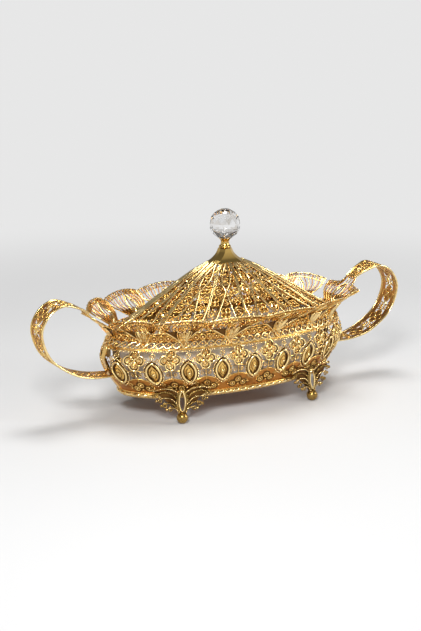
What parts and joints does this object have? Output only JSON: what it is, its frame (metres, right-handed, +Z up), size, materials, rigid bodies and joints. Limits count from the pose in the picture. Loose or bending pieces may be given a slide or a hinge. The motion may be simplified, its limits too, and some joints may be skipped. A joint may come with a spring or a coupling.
{
  "type": "turkish delight box",
  "caption": "Oval footed sweet dish in pierced gilt filigree with a flared leaf rim, ribbon handles, a glass liner and a tented lift-off lid with a crystal ball knob.",
  "frame": {"origin": "on the table under the middle of the dish: the centre of the bounding box at its lowest face, where the four feet stand", "axes": "+X along the dish towards the right handle, +Y towards the back, +Z up; the handles lie at plus and minus X"},
  "size_m": [0.3966, 0.1627, 0.1901],
  "materials": {
    "gilt_filigree": "bright gilt casting with copper reflections",
    "polished_gilt": "mirror polished gilt",
    "antique_brass": "satin antique brass, dark in its recesses",
    "copper_gilt": "copper toned gilt sheet",
    "steel": "plain plated steel",
    "liner_glass": "pale frosted glass",
    "crystal": "clear cut crystal"
  },
  "bodies": {
    "dish": {"base_plate": "copper_gilt", "body_wall_back": "gilt_filigree", "body_wall_front": "gilt_filigree", "end_strap_left": "gilt_filigree", "end_strap_right": "gilt_filigree", "foot_back_left": "antique_brass", "foot_back_right": "antique_brass", "foot_front_left": "antique_brass", "foot_front_right": "antique_brass", "glass_liner": "liner_glass", "handle_left": "gilt_filigree", "handle_right": "gilt_filigree", "hem_ring": "gilt_filigree", "rim_fan_01": "gilt_filigree", "rim_fan_02": "gilt_filigree", "rim_fan_03": "gilt_filigree", "rim_fan_04": "gilt_filigree", "rim_fan_05": "gilt_filigree", "rim_fan_06": "gilt_filigree", "rim_fan_07": "gilt_filigree", "rim_fan_08": "gilt_filigree", "rim_fan_09": "gilt_filigree", "rim_fan_10": "gilt_filigree", "rim_fan_11": "gilt_filigree", "rim_fan_12": "gilt_filigree", "rim_fan_13": "gilt_filigree", "rim_fan_14": "gilt_filigree", "shoulder_band": "gilt_filigree", "waist_collar": "gilt_filigree"},
    "lid": {"crystal_ball": "crystal", "knob_neck": "polished_gilt", "knob_nut": "steel", "knob_stud": "steel", "lid_base_ring": "gilt_filigree", "lid_cap": "polished_gilt", "lid_panel_01": "gilt_filigree", "lid_panel_02": "gilt_filigree", "lid_panel_03": "gilt_filigree", "lid_panel_04": "gilt_filigree", "lid_panel_05": "gilt_filigree", "lid_panel_06": "gilt_filigree", "lid_panel_07": "gilt_filigree", "lid_panel_08": "gilt_filigree", "lid_panel_09": "gilt_filigree", "lid_panel_10": "gilt_filigree", "lid_panel_11": "gilt_filigree", "lid_panel_12": "gilt_filigree", "lid_ribs": "gilt_filigree"}
  },
  "joints": [
    {"name": "lid_lift", "type": "slide", "parent": "dish", "child": "lid", "axis": [0, 0, 1], "range_m": [0, 0.12]}
  ]
}
